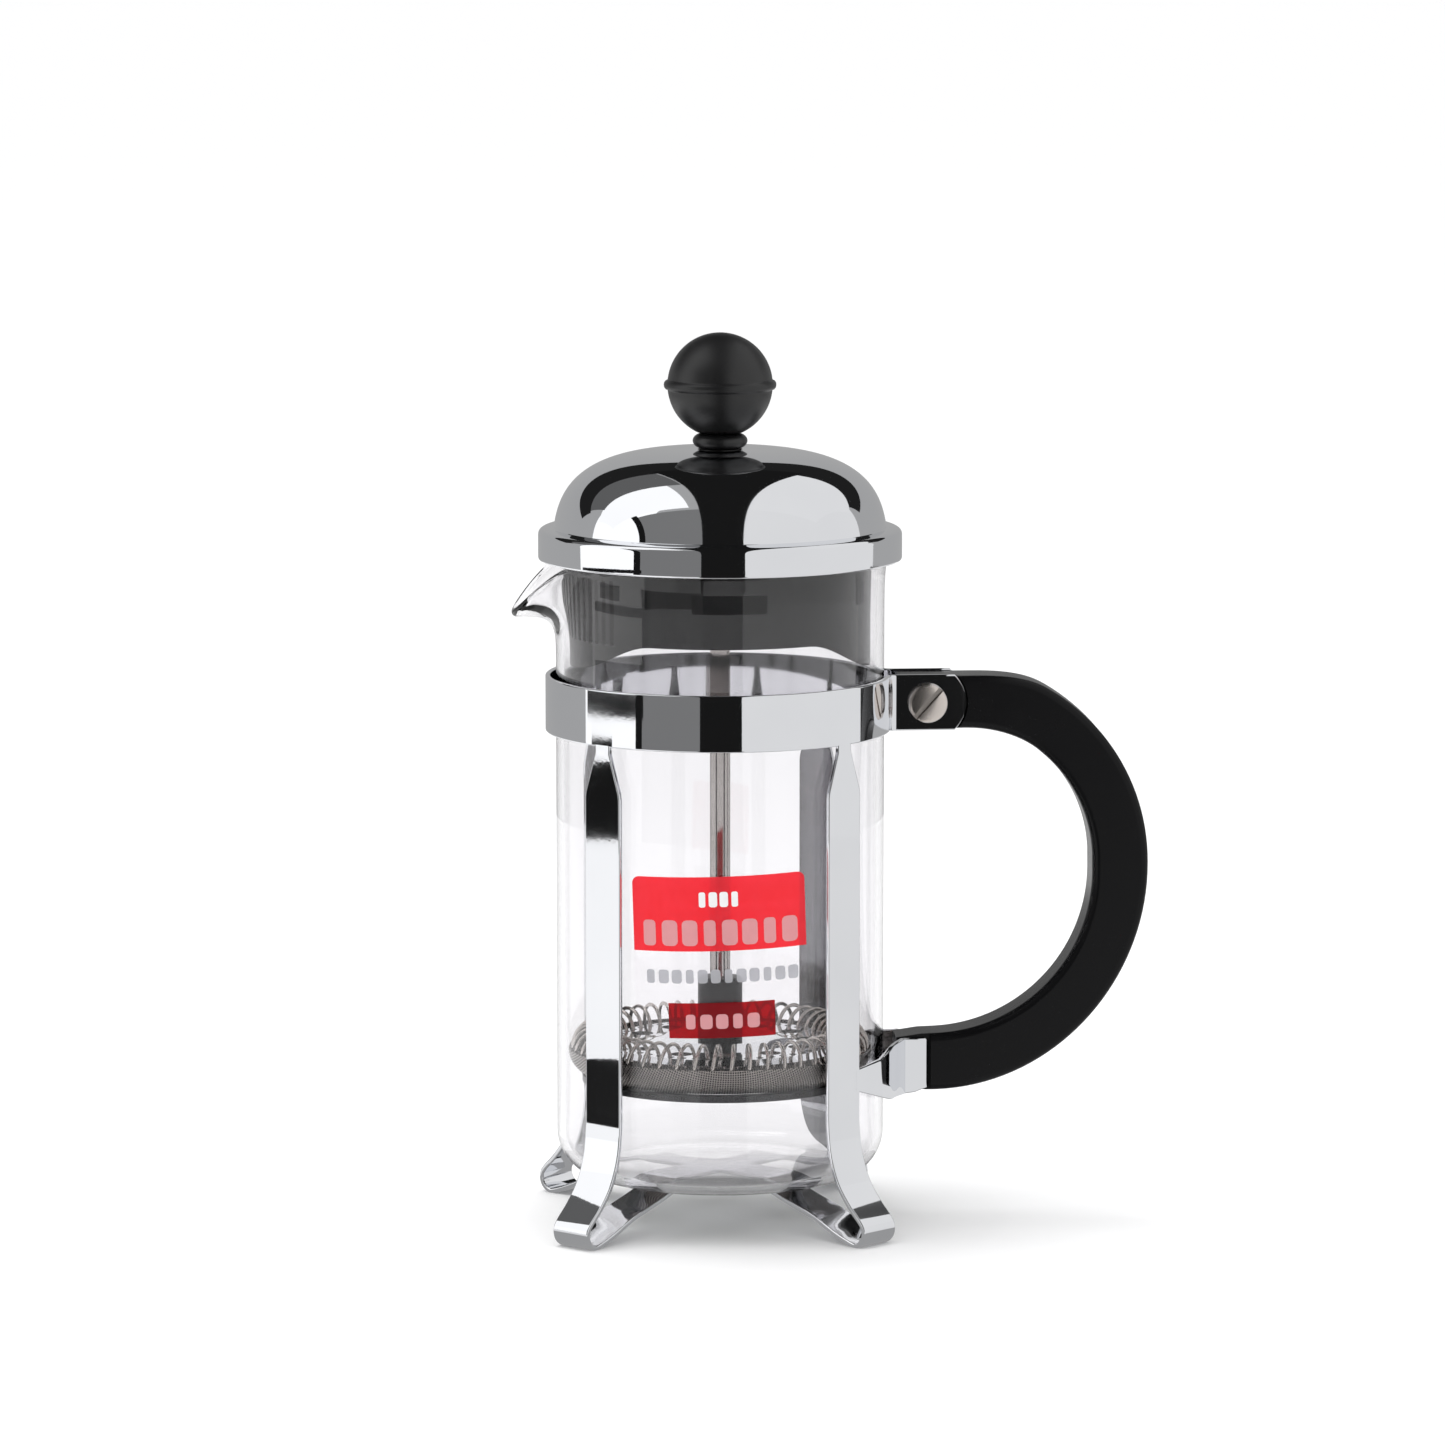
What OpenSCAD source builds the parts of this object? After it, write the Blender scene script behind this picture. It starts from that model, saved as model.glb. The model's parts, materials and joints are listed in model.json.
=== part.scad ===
// A three-cup french press: a glass beaker in a chrome strip frame with a moulded handle, a domed
// lid, and a plunger that ends in a spring-edged mesh filter.
// The table is z = 0 and +Z is up. The spout points to -X and the handle to +X. Inside the modules
// the press axis is x = y = 0, and on_axis() moves it so that the whole object is centred.

/* [Beaker] */
// Outside diameter of the glass
beaker_d = 72; // [71.8:0.1:72.2]
// Wall thickness of the glass
glass_t = 1.7; // [1.6:0.1:1.8]
// Height of the underside of the glass
beaker_z = 10; // [9.9:0.1:10.4]
// Height of the rim of the glass
rim_z = 147.3; // [147.1:0.1:147.4]
// Distance from the axis to the tip of the spout
spout_reach = 45.7; // [44:0.1:47]
// Height of the middle of the pouring lip
lip_z = 135.1; // [134.5:0.1:136.5]
// Half of the angle that the spout takes up
spout_half = 36; // [32:1:40]

/* [Frame] */
// Thickness of the chrome strip
strip_t = 1.1; // [1:0.05:1.1]
// Width of a leg
leg_w = 10; // [9.5:0.5:11]
// Width of the neck where a leg meets the band
neck_w = 4.1; // [3.5:0.1:5]
// Height of the lower edge of the band
band_z = 108.8; // [108.5:0.1:109]
// Height of the band
band_h = 12.3; // [12:0.1:12.5]
// Distance between the inner faces of the ears
ear_gap = 9.4; // [9:0.1:10]
// Distance from the axis to the end of an ear
ear_reach = 53.7; // [53.5:0.1:54]

/* [Handle] */
// Thickness of the handle
handle_t = 12; // [11.6:0.1:12.4]
// Distance from the axis to the outermost point of the handle
handle_reach = 94.2; // [93.5:0.1:95]

/* [Lid] */
// Outside diameter of the brim
brim_d = 79.6; // [79.2:0.1:80]
// Height of the lower edge of the brim
brim_z = 146.6; // [146.4:0.1:146.8]
// Height of the top of the dome
dome_z = 170.5; // [170:0.1:170.6]
// Number of straining slots in the skirt
slot_count = 21; // [15:2:23]

/* [Plunger] */
// Diameter of the rod
rod_d = 4.5; // [4.3:0.1:4.5]
// Diameter of the ball knob
knob_d = 23; // [22:0.5:24]
// Height of the middle of the ball knob
knob_z = 184.6; // [184.6:0.1:185.5]

/* [Filter] */
// Radius of the circle that the coil spring is wound round
ring_r = 28; // [27.8:0.1:28.2]
// Outside diameter of the coil
coil_d = 10; // [9.6:0.1:10]
// Diameter of the spring wire
wire_d = 0.85; // [0.8:0.05:0.9]
// Number of turns in the spring
coil_turns = 52; // [44:1:54]
// Number of holes in the spiral plate
hole_count = 12; // [8:1:14]

/* [Hidden] */
$fn = 96;

mid_x = (handle_reach - spout_reach) / 2;
chrome = [0.78, 0.79, 0.81];
steel = [0.6, 0.59, 0.58];
black = [0.05, 0.05, 0.055];
cut = 0.5;                                // how far a cutting solid runs past a face

glass_r = beaker_d / 2;
bore_r = glass_r - glass_t;
corner_r = 10;                            // outside corner at the bottom of the glass
spout_z = 126;                            // where the wall starts to bend out into the spout
bead_r = 1.1;                             // rounding of the rim
lip_r = 1;                                // rounding of the pouring lip
film_z = [46.5, 81.7];
film_half = 18.6;                         // half of the label film's width, seen from the front
film_tilt = 1.8;                          // the label is stuck on a little askew
film_turn = -4;                           // and a little towards the spout

frame_x = -0.45;                          // the clamped band sits a little towards the spout
strip_r = glass_r + 0.75;                 // inner face of the band and of the legs
strip_mid = strip_r + strip_t / 2;
band_r = strip_r + strip_t;
ear_y = ear_gap / 2 + strip_t / 2;        // middle plane of an ear
screw_x = 45.1;
screw_z = band_z + band_h / 2;
screw_r = 2;
head_r = 4.3;
head_t = 2;
cross_z = beaker_z - 0.1 - strip_t;       // underside of the crossing strips
cross_r = 16.8;                           // where the legs meet the crossing strips

// The middle of a leg's strip from the neck to the crossing strips, as [radius, height].
foot_path = [[strip_mid, 30], [strip_mid + 0.1, 25], [strip_mid + 0.9, 19], [strip_mid + 3.1, 13.2],
    [strip_mid + 6.4, 8.8], [strip_mid + 9.6, 5.6], [strip_mid + 10.6, 3.9],
    [strip_mid + 10.2, 1.9], [strip_mid + 8.7, 0.5], [strip_mid + 6.9, 0.5], [strip_mid + 2, 2.3],
    [33.4, 5], [28.2, 6.6], [23.9, 7.9], [20.4, 9.1], [18.4, cross_z + strip_t / 2],
    [cross_r, cross_z + strip_t / 2]];
leg_azimuth = [47.6, 135.6];              // of the legs on the handle's side and the spout's side

skirt_r = 32.9;
skirt_t = 1.5;
slot_w = 1.2;
slot_pitch = 4.15;                        // angle from one slot to the next
slot_z = [130.2, 144.5];
hub_r = 4.5;                              // lower tube of the collar, which the lid turns on
hub_z = 141;
collar_z = dome_z + 0.1;
collar_top = 174.1;

coil_z = 38.8;                            // middle of the coil
mesh_z = 32.8;
plate_z = 31.2;
sleeve_z = [40.8, 53.9];

function lerp(a, b, t) = a + (b - a) * t;
function bezier(a, b, c, d, t) =
    a * pow(1 - t, 3) + b * 3 * t * pow(1 - t, 2) + c * 3 * t * t * (1 - t) + d * pow(t, 3);
function arc(cx, cy, rx, ry, a0, a1, steps) =
    [for (i = [0 : steps]) let (a = lerp(a0, a1, i / steps)) [cx + rx * cos(a), cy + ry * sin(a)]];

// A smooth curve through hand-chosen points.
function pass(p, i, t) =
    let (a = p[max(i - 1, 0)], b = p[i], c = p[i + 1], d = p[min(i + 2, len(p) - 1)])
    0.5 * (2 * b + (c - a) * t + (2 * a - 5 * b + 4 * c - d) * t * t
        + (3 * b - a - 3 * c + d) * t * t * t);
function smooth(p, steps) =
    [for (i = [0 : len(p) - 2], k = [0 : steps - 1]) pass(p, i, k / steps), p[len(p) - 1]];

// Both faces of a strip of thickness t along a path in a plane.
function side(p, i) =
    let (d = p[min(i + 1, len(p) - 1)] - p[max(i - 1, 0)]) [d[1], -d[0]] / norm(d);
function strip(p, t) = concat(
    [for (i = [0 : len(p) - 1]) p[i] + side(p, i) * t / 2],
    [for (i = [len(p) - 1 : -1 : 0]) p[i] - side(p, i) * t / 2]);

module on_axis() {
    translate([-mid_x, 0, 0]) children();
}

// An outline drawn in x and z, made solid from y = -t/2 to y = t/2.
module upright(t) {
    rotate([90, 0, 0]) linear_extrude(t, center = true) children();
}

// ---- beaker ----

fine_steps = 24;
coarse_steps = 36;
rim_steps = fine_steps + coarse_steps;
function rim_angle(i) = i < fine_steps
    ? 180 - spout_half + i * 2 * spout_half / fine_steps
    : 180 + spout_half + (i - fine_steps) * (360 - 2 * spout_half) / coarse_steps;
function spout_share(a) = abs(a - 180) >= spout_half ? 0
    : pow(0.5 + 0.5 * cos(180 * (a - 180) / spout_half), 1.7);

// Between the plain wall and the spout, the height changes later than the reach.
function part_way(plain, spout, w) =
    [lerp(plain[0], spout[0], w), lerp(plain[1], spout[1], pow(w, 1.25))];

// The wall's section at an angle where the spout's share of the shape is w, as [radius, height]
// from the middle of the underside over the rim to the middle of the floor.
function wall_outside(w, t) = part_way(
    [glass_r + 0.5 * pow(t, 6), lerp(spout_z, rim_z - bead_r, t)],
    bezier([glass_r, spout_z], [glass_r, lip_z - 1.4], [glass_r + 1.5, lip_z - lip_r],
        [spout_reach - lip_r, lip_z - lip_r], t), w);
function wall_inside(w, t) = part_way(
    [bore_r, lerp(spout_z, rim_z - bead_r, t)],
    bezier([bore_r, spout_z], [bore_r, lip_z + 0.5], [glass_r + 0.5, lip_z + lip_r],
        [spout_reach - lip_r, lip_z + lip_r], t), w);
function rim_section(w) =
    let (middle = part_way([glass_r + 0.5 - bead_r, rim_z - bead_r],
            [spout_reach - lip_r, lip_z], w),
        half = [lerp((glass_r + 0.5 - bore_r) / 2, lip_r, w), lerp(bead_r, lip_r, w)])
    [for (a = [30 : 30 : 150]) middle + [half[0] * cos(a - 90 * w), half[1] * sin(a - 90 * w)]];
function wall_section(w) = concat(
    [[12, beaker_z]],
    arc(glass_r - corner_r, beaker_z + corner_r, corner_r, corner_r, -90, 0, 6),
    [for (i = [0 : 7]) wall_outside(w, i / 7)],
    rim_section(w),
    [for (i = [7 : -1 : 0]) wall_inside(w, i / 7)],
    arc(glass_r - corner_r, beaker_z + corner_r, corner_r - glass_t, corner_r - glass_t, 0, -90, 6),
    [[12, beaker_z + glass_t]]);

module beaker() {
    rings = len(wall_section(0));
    sections = [for (i = [0 : rim_steps - 1]) let (a = rim_angle(i))
        [for (p = wall_section(spout_share(a))) [p[0] * cos(a), p[0] * sin(a), p[1]]]];
    points = concat([for (s = sections) each s],
        [[0, 0, beaker_z], [0, 0, beaker_z + glass_t]]);
    below = rim_steps * rings;
    floor_point = below + 1;
    faces = [for (i = [0 : rim_steps - 1]) let (a = i * rings, b = (i + 1) % rim_steps * rings) each
        concat([[below, b, a], [floor_point, a + rings - 1, b + rings - 1]],
            [for (k = [0 : rings - 2]) each [[a + k, b + k, b + k + 1], [a + k, b + k + 1, a + k + 1]]])];
    color([0.86, 0.91, 0.9, 0.4]) on_axis() polyhedron(points, [for (f = faces) [f[0], f[2], f[1]]]);
}

module label_film() {
    corner = 1.6;
    height = film_z[1] - film_z[0];
    color([0.75, 0.1, 0.15]) on_axis() intersection() {
        rotate([0, 0, -150]) rotate_extrude(angle = 120)
            translate([glass_r + 0.02, film_z[0] - 2]) square([0.1, height + 4]);
        rotate([0, 0, film_turn]) translate([0, -glass_r, film_z[0] + height / 2]) upright(glass_r)
            rotate(film_tilt) polygon(concat([[-film_half, -height / 2], [film_half, -height / 2]],
                arc(film_half - corner, height / 2 - corner, corner, corner, 0, 90, 5),
                arc(corner - film_half, height / 2 - corner, corner, corner, 90, 180, 5)));
    }
}

// ---- frame ----

// The end of an ear is an arc round the screw.
module ear_outline() {
    intersection() {
        translate([strip_r, band_z]) square([ear_reach - strip_r, band_h]);
        translate([screw_x, screw_z]) circle(ear_reach - screw_x);
    }
    translate([strip_r - 1, band_z]) square([screw_x - strip_r, band_h]);
}

module band_plan() {
    bend = 1.6;                           // inside radius where the band turns out into an ear
    outer_y = ear_gap / 2 + strip_t;
    difference() {
        translate([frame_x, 0]) circle(band_r);
        translate([frame_x, 0]) circle(strip_r);
        translate([0, -ear_gap / 2]) square([band_r + 1, ear_gap]);
    }
    for (s = [-1, 1]) scale([1, s]) {
        translate([band_r - 1.6, ear_gap / 2]) square([ear_reach - band_r + 1.6, strip_t]);
        difference() {
            translate([band_r - 1.6, outer_y - 0.3]) square([bend + 0.8, bend + 0.3]);
            translate([band_r + bend - 0.8, outer_y + bend]) circle(bend);
            translate([frame_x, 0]) circle(strip_r);
        }
    }
}

module frame_band() {
    color(chrome) on_axis() difference() {
        translate([0, 0, band_z]) linear_extrude(band_h) band_plan();
        upright(2 * ear_y + 2 * strip_t) difference() {
            translate([screw_x, band_z - cut]) square([ear_reach, band_h + 2 * cut]);
            ear_outline();
        }
        translate([screw_x, 0, screw_z]) rotate([90, 0, 0])
            cylinder(r = screw_r + 0.1, h = 3 * ear_gap, center = true);
    }
}

module leg(azimuth) {
    shoulder_z = band_z - 10.5;
    path = concat([[strip_mid, band_z]], smooth(foot_path, 4));
    color(chrome) on_axis() translate([frame_x, 0, 0]) rotate([0, 0, azimuth]) intersection() {
        upright(leg_w) polygon(strip(path, strip_t));
        rotate([0, 0, 90]) upright(120) polygon([
            [-leg_w / 2, 0], [-leg_w / 2, shoulder_z], [-neck_w / 2, band_z - 1.5],
            [-neck_w / 2, band_z], [neck_w / 2, band_z], [neck_w / 2, band_z - 1.5],
            [leg_w / 2, shoulder_z], [leg_w / 2, 0]]);
    }
}

module leg_front_left() { leg(-leg_azimuth[1]); }
module leg_front_right() { leg(-leg_azimuth[0]); }
module leg_rear_left() { leg(leg_azimuth[1]); }
module leg_rear_right() { leg(leg_azimuth[0]); }

module base_cross() {
    color(chrome) on_axis() translate([frame_x, 0, cross_z]) linear_extrude(strip_t)
        for (a = leg_azimuth, s = [-1, 1]) rotate(s * a)
            translate([0, -leg_w / 2]) square([cross_r, leg_w]);
}

// An arm from a right leg's edge to a plate beside the handle's foot, turned in at its end.
bracket_end = 45.8;
module bracket() {
    a = leg_azimuth[0];
    root = [frame_x + strip_mid * cos(a) + leg_w / 2 * sin(a),
        leg_w / 2 * cos(a) - strip_mid * sin(a)];
    plan = concat([root], smooth([[33.6, -17.2], [36.2, -12.2], [38, -8.4], [40.4, -ear_y]], 4),
        [[bracket_end - strip_t / 2, -ear_y]]);
    intersection() {
        union() {
            linear_extrude(60) polygon(strip(plan, strip_t));
            translate([bracket_end - strip_t, -ear_y - strip_t / 2, 0]) cube([strip_t, 3, 60]);
        }
        upright(100) polygon(concat([[24, 32], [root[0], 32], [33.4, 29.6], [36.6, 27.8],
            [40, 27.9]], arc(bracket_end - 3.5, 31.6, 3.5, 3.5, -80, 0, 5),
            [[bracket_end, 40.3], [39.6, 40.4], [37, 39.6], [34, 37.9], [root[0], 37.2], [24, 37.2]]));
    }
}

module handle_bracket_front() { color(chrome) on_axis() bracket(); }
module handle_bracket_rear() { color(chrome) on_axis() mirror([0, 1, 0]) bracket(); }

// ---- handle ----

handle_top = band_z + band_h - 0.4;
module handle_outline() {
    under = band_z + 0.3;
    foot = [bracket_end - 0.8, 28.6];
    turn = [49.8, 78.7];                  // middle of the upper outer arc
    turn_r = [handle_reach - turn[0], 44.9];
    polygon(concat(
        [[39, under], [39, handle_top]],
        [for (i = [0 : 7]) bezier([56, handle_top], [64, handle_top], [68.5, handle_top - 1],
            turn + [turn_r[0] * cos(60), turn_r[1] * sin(60)], i / 8)],
        arc(turn[0], turn[1], turn_r[0], turn_r[1], 60, 0, 12),
        [for (i = [1 : 20]) bezier([handle_reach, turn[1]], [handle_reach + 0.3, 52], [73, 27.8],
            foot, i / 20)],
        [[38.6, 29.6], [38.6, 40.4], [44, 41.2]],
        arc(46.5, 76.8, 35.3, 35.5, -88, 0, 18),
        arc(49.5, 79.5, 32.3, 31.6, 0, 50, 10),
        [for (i = [1 : 7]) bezier([70.3, 103.7], [67, 106.6], [61, under], [54, under], i / 8)]));
}

module handle() {
    cheek = handle_t / 2 - ear_gap / 2 + cut;
    color(black) on_axis() difference() {
        upright(handle_t) handle_outline();
        for (s = [-1, 1]) translate([0, s * (ear_gap / 2 + cheek / 2), 0]) upright(cheek) {
            intersection() {
                translate([30, band_z - 5]) square([ear_reach + 0.3 - 30, 30]);
                union() {
                    translate([screw_x, screw_z]) circle(ear_reach + 0.3 - screw_x);
                    translate([30, band_z - 5]) square([screw_x - 30, 30]);
                }
            }
            translate([30, 20]) square([bracket_end + 0.3 - 30, 30]);
        }
        for (s = [-1, 1]) translate([bracket_end - strip_t / 2, s * 3.9, 34])
            cube([strip_t + 0.6, 3.2, 20], center = true);
        translate([screw_x, 0, screw_z]) rotate([90, 0, 0])
            cylinder(r = screw_r + 0.1, h = 2 * ear_gap, center = true);
    }
}

ear_face = ear_gap / 2 + strip_t;
module handle_screw() {
    color(steel) on_axis() translate([screw_x, 0, screw_z]) difference() {
        rotate([90, 0, 0]) union() {
            translate([0, 0, -ear_face - 3]) cylinder(r = screw_r, h = 2 * ear_face + 3);
            translate([0, 0, ear_face]) cylinder(r = head_r, h = head_t);
        }
        translate([0, -ear_face - head_t, 0]) rotate([0, -48, 0]) cube([12, 1.8, 1.2], center = true);
    }
}

module handle_nut() {
    nut_r = 4.04;                         // corner radius of a nut 7 mm across its flats
    color(steel) on_axis() translate([screw_x, ear_face + 3, screw_z]) rotate([90, 0, 0])
        difference() {
            cylinder(r = nut_r, h = 3, $fn = 6);
            translate([0, 0, -cut]) cylinder(r = screw_r, h = 3 + 2 * cut);
        }
}

// ---- lid ----

module lid_dome() {
    base = brim_z + 7;
    wall = 0.8;
    brim_r = brim_d / 2;
    shoulder = [36.4, base];
    outside = [for (i = [0 : 14]) bezier(shoulder, [35.4, base + 5.9], [33.3, dome_z + 0.3],
        [hub_r + 3, dome_z], i / 14)];
    inside = [for (i = [14 : -1 : 0]) bezier(shoulder - [wall, wall], [34.6, base + 5.3],
        [32.5, dome_z + 0.3 - wall], [hub_r + 3, dome_z - wall], i / 14)];
    color(chrome) on_axis() rotate_extrude() polygon(concat(
        [[brim_r - wall, brim_z], [brim_r - 0.3, brim_z], [brim_r, brim_z + 0.4],
            [brim_r, brim_z + 5.6], [brim_r - 0.4, brim_z + 6.3], [brim_r - 1.2, brim_z + 6.7]],
        outside,
        [[hub_r + 0.4, dome_z], [hub_r + 0.4, dome_z - wall]],
        inside,
        [[brim_r - 1.4, base - wall - 0.3], [brim_r - wall, brim_z + 5.4]]));
}

module lid_insert() {
    plate = 2;
    top = rim_z + 0.3;
    edge_x = 17;                          // the skirt's lower edge is level out to here
    edge = [for (i = [0 : 10]) [lerp(edge_x, 33.2, i / 10), lerp(130.5, 123.8, 0.5 - 0.5 * cos(18 * i))]];
    color(black) on_axis() difference() {
        rotate_extrude() polygon([
            [hub_r + 0.08, hub_z + 1], [hub_r + 2.3, hub_z + 1], [hub_r + 2.3, top],
            [skirt_r - skirt_t, top], [skirt_r - skirt_t, 123.8], [skirt_r, 123.8], [skirt_r, top],
            [brim_d / 2 - 1.1, top], [brim_d / 2 - 1.1, top + plate], [hub_r + 2.3, top + plate],
            [hub_r + 2.3, dome_z - 1.2], [hub_r + 0.08, dome_z - 1.2]]);
        upright(100) polygon(concat(
            edge, [[33.2, 120], [-33.2, 120]],
            [for (i = [10 : -1 : 0]) [-edge[i][0], edge[i][1]]]));
        for (i = [0 : slot_count - 1]) rotate([0, 0, 180 + slot_pitch * (i - (slot_count - 1) / 2)])
            translate([skirt_r - 4, -slot_w / 2, slot_z[0]]) cube([6, slot_w, slot_z[1] - slot_z[0]]);
    }
}

// The collar clamps the dome, guides the rod, and carries the tube that the lid turns on.
module lid_collar() {
    color(black) on_axis() rotate_extrude() polygon(concat(
        [[rod_d / 2 + 0.08, hub_z], [hub_r, hub_z], [hub_r, collar_z]],
        arc(3.3, collar_z + 1.8, 2.7, 1.8, -90, 0, 5),
        arc(3.3, collar_z + 1.8, 2.7, collar_top - collar_z - 1.8, 0, 90, 6),
        [[rod_d / 2 + 0.08, collar_top]]));
}

// ---- plunger ----

rod_top = 183;
rod_foot = 34.8;
module plunger_rod() {
    color(steel) on_axis() translate([0, 0, rod_foot]) cylinder(d = rod_d, h = rod_top - rod_foot);
}

insert_z = knob_z - 10.2;
module knob_insert() {
    color([0.75, 0.6, 0.3]) on_axis() difference() {
        translate([0, 0, insert_z]) cylinder(r = 3.4, h = 11);
        translate([0, 0, insert_z - cut]) cylinder(d = rod_d, h = rod_top - insert_z + cut);
    }
}

module knob() {
    r = knob_d / 2;
    seam = 0.9;                           // half height of the ring round the seam
    color(black) on_axis() difference() {
        translate([0, 0, knob_z]) rotate_extrude() polygon(concat(
            [[0, -r + 1.1], [4.2, -r + 1.1]],
            arc(0, 0, r, r, -64, -5, 12),
            [[r + 0.6, -seam + 0.2], [r + 0.8, -seam + 0.6], [r + 0.8, seam - 0.2], [r + 0.6, seam + 0.2]],
            arc(0, 0, r, r - 0.1, 6, 90, 16)));
        translate([0, 0, insert_z - cut]) cylinder(r = 3.4, h = 11 + cut);
    }
}

module rod_sleeve() {
    color(black) on_axis() difference() {
        translate([0, 0, sleeve_z[0]]) cylinder(r = 4.9, h = sleeve_z[1] - sleeve_z[0]);
        translate([0, 0, sleeve_z[0] - cut]) cylinder(d = rod_d, h = 20);
    }
}

// ---- filter ----

// The coil's inner side passes through the small holes near the rim.
module spiral_plate() {
    top = sleeve_z[0];
    color(chrome) on_axis() difference() {
        rotate_extrude() polygon([[rod_d / 2 + 0.08, top - 0.8], [11.6, top - 0.8], [15.6, top - 2],
            [24.5, top - 2], [26.4, top - 2.8], [26.9, top - 2.2], [25, top - 1.2],
            [16, top - 1.2], [12, top], [rod_d / 2 + 0.08, top]]);
        for (i = [0 : hole_count - 1]) rotate([0, 0, 360 * i / hole_count])
            translate([19.2, 0, top - 5]) cylinder(r = 2.4, h = 10);
        for (i = [0 : coil_turns - 1]) rotate([0, 0, 360 * (i + 0.5) / coil_turns])
            translate([ring_r - (coil_d - wire_d) / 2, 0, top - 5])
                cylinder(r = wire_d / 2 + 0.4, h = 10, $fn = 24);
    }
}

// A closed coil: a helix wound round a ring, whose ends meet.
module spring_coil() {
    turn_steps = 8;
    sides = 5;
    wire_r = wire_d / 2;
    wind_r = coil_d / 2 - wire_r;
    steps = coil_turns * turn_steps;
    middle = [for (i = [0 : steps - 1]) let (a = 360 * i / steps, b = 360 * i / turn_steps,
        r = ring_r + wind_r * cos(b)) [r * cos(a), r * sin(a), coil_z + wind_r * sin(b)]];
    points = [for (i = [0 : steps - 1]) let (
            ahead = middle[(i + 1) % steps] - middle[(i + steps - 1) % steps],
            along = ahead / norm(ahead),
            a = 360 * i / steps, b = 360 * i / turn_steps,
            out = [cos(a) * cos(b), sin(a) * cos(b), sin(b)],
            u0 = out - along * (out * along), u = u0 / norm(u0), v = cross(along, u))
        for (k = [0 : sides - 1]) middle[i] + wire_r * (u * cos(72 * k) + v * sin(72 * k))];
    faces = [for (i = [0 : steps - 1], k = [0 : sides - 1]) let (a = i * sides,
        b = (i + 1) % steps * sides, n = (k + 1) % sides) each
        [[a + k, b + k, b + n], [a + k, b + n, a + n]]];
    color(steel) on_axis() polyhedron(points, [for (f = faces) [f[0], f[2], f[1]]]);
}

// A shallow dish whose edge wraps the lower outer side of the coil.
module filter_mesh() {
    dish = coil_d / 2 + 0.15;
    gauge = 0.3;
    color(steel) on_axis() rotate_extrude() polygon(concat(
        [[4.2, mesh_z]], arc(ring_r, coil_z, dish + gauge, coil_z - mesh_z, -90, 0, 10),
        arc(ring_r, coil_z, dish, coil_z - mesh_z - gauge, 0, -90, 10), [[4.2, mesh_z + gauge]]));
}

module cross_plate() {
    rim = [28.2, 30.4];
    color([0.2, 0.2, 0.21]) on_axis() difference() {
        translate([0, 0, plate_z]) union() {
            linear_extrude(1.5) difference() {
                circle(rim[1]);
                difference() {
                    circle(rim[0]);
                    for (a = [0, 60, 120]) rotate(a) square([2 * rim[1], 4], center = true);
                    circle(7);
                }
            }
            cylinder(r = 4, h = sleeve_z[0] - 1 - plate_z);
        }
        translate([0, 0, rod_foot - 0.2]) cylinder(r = rod_d / 2 + 0.08, h = 20);
    }
}

frame_band();
leg_front_left();
leg_front_right();
leg_rear_left();
leg_rear_right();
base_cross();
handle_bracket_front();
handle_bracket_rear();
handle();
handle_screw();
handle_nut();
beaker();
label_film();
lid_collar();
lid_dome();
lid_insert();
plunger_rod();
knob_insert();
knob();
rod_sleeve();
spiral_plate();
spring_coil();
filter_mesh();
cross_plate();
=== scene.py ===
"""Looks for a three-cup french press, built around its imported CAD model.

Outlines are in millimetres from the press axis, with z = 0 on the table, as in the CAD source.
"""

import json
from math import asin, atan2, cos, degrees, hypot, pi, radians, sin, sqrt

import bmesh
import bpy
import numpy as np
from mathutils import Matrix, Vector


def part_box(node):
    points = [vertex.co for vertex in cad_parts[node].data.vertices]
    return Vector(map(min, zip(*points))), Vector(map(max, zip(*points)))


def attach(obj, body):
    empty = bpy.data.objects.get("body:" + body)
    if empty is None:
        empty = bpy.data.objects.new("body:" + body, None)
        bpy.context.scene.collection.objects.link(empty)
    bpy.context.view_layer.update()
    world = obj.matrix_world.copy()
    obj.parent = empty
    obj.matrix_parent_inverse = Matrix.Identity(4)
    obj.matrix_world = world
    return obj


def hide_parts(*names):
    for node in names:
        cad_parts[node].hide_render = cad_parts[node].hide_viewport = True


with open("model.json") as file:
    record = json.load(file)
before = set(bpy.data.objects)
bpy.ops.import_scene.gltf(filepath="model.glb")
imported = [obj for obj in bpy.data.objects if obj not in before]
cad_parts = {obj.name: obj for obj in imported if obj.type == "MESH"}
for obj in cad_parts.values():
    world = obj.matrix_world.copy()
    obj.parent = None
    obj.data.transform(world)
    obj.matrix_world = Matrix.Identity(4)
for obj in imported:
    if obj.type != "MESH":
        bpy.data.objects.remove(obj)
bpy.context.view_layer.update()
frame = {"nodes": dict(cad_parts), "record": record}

MM = 0.001
AXIS_X = sum(p.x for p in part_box("plunger_rod")) / 2


def span(node):
    """Lowest and highest corners of a CAD node, in millimetres from the press axis."""
    return [(p - Vector((AXIS_X, 0, 0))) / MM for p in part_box(node)]


BODY_OF = {n: b for b, nodes in frame["record"]["behaviour"]["bodies"].items() for n in nodes}

# ---- sizes, read from the frame where it holds them ----

STRIP_T = 1.1  # chrome strip
GLASS_T = 1.7  # beaker wall
band_lo, band_hi = span("frame_band")
BAND_R = band_hi.y
FRAME_X = band_lo.x + BAND_R
STRIP_MID = BAND_R - STRIP_T / 2
BAND_Z, BAND_TOP = band_lo.z, band_hi.z
EAR_REACH = band_hi.x
EAR_GAP = 9.4  # clear width between the two ears, which the handle's end fills
EAR_Y = EAR_GAP / 2 + STRIP_T / 2
SCREW_X = 45.1
SCREW_Z = (BAND_Z + BAND_TOP) / 2
LEG_W = 10
NECK_W = 4.1  # where a leg joins the band
LEG_AZIMUTH = (47.6, 135.6)  # right and left legs, on either side
BRACKET_END = span("handle_bracket_front")[1].x

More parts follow.
